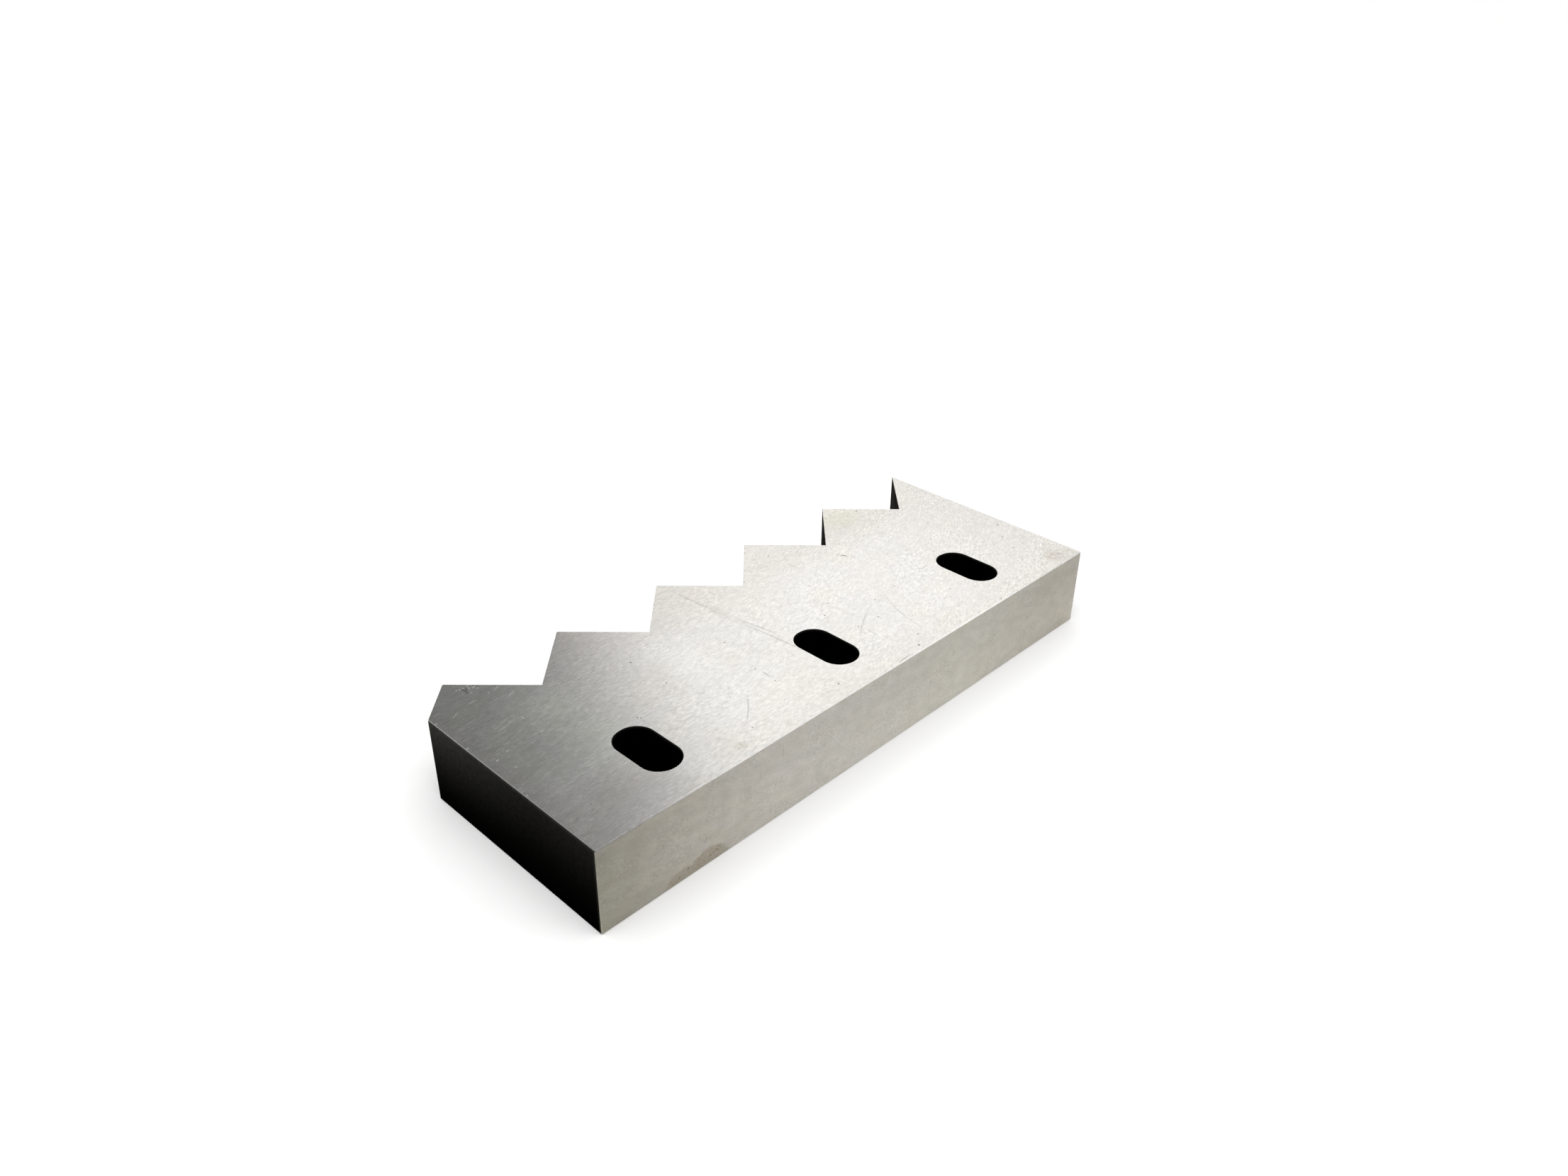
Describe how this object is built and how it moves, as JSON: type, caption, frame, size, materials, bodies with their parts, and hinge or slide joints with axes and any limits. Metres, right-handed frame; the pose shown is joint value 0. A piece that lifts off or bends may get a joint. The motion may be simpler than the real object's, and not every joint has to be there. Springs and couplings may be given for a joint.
{
  "type": "plastic shredder blade",
  "caption": "Straight steel bed blade for a plastics shredder: ground flat bar with V notches along the cutting edge and round-ended bolt slots across its width.",
  "frame": {"origin": "centre of the seat face's outline, on the seat face", "axes": "+X along the cutting edge towards the butt end, +Y from the straight back edge towards the teeth, +Z from the seat face up to the ground top face"},
  "size_m": [0.3, 0.12, 0.039],
  "materials": {
    "ground_steel": "ground top and seat faces, duller machined edge faces with light rust stains"
  },
  "bodies": {
    "root": {"shredder_blade": "ground_steel"}
  },
  "joints": []
}
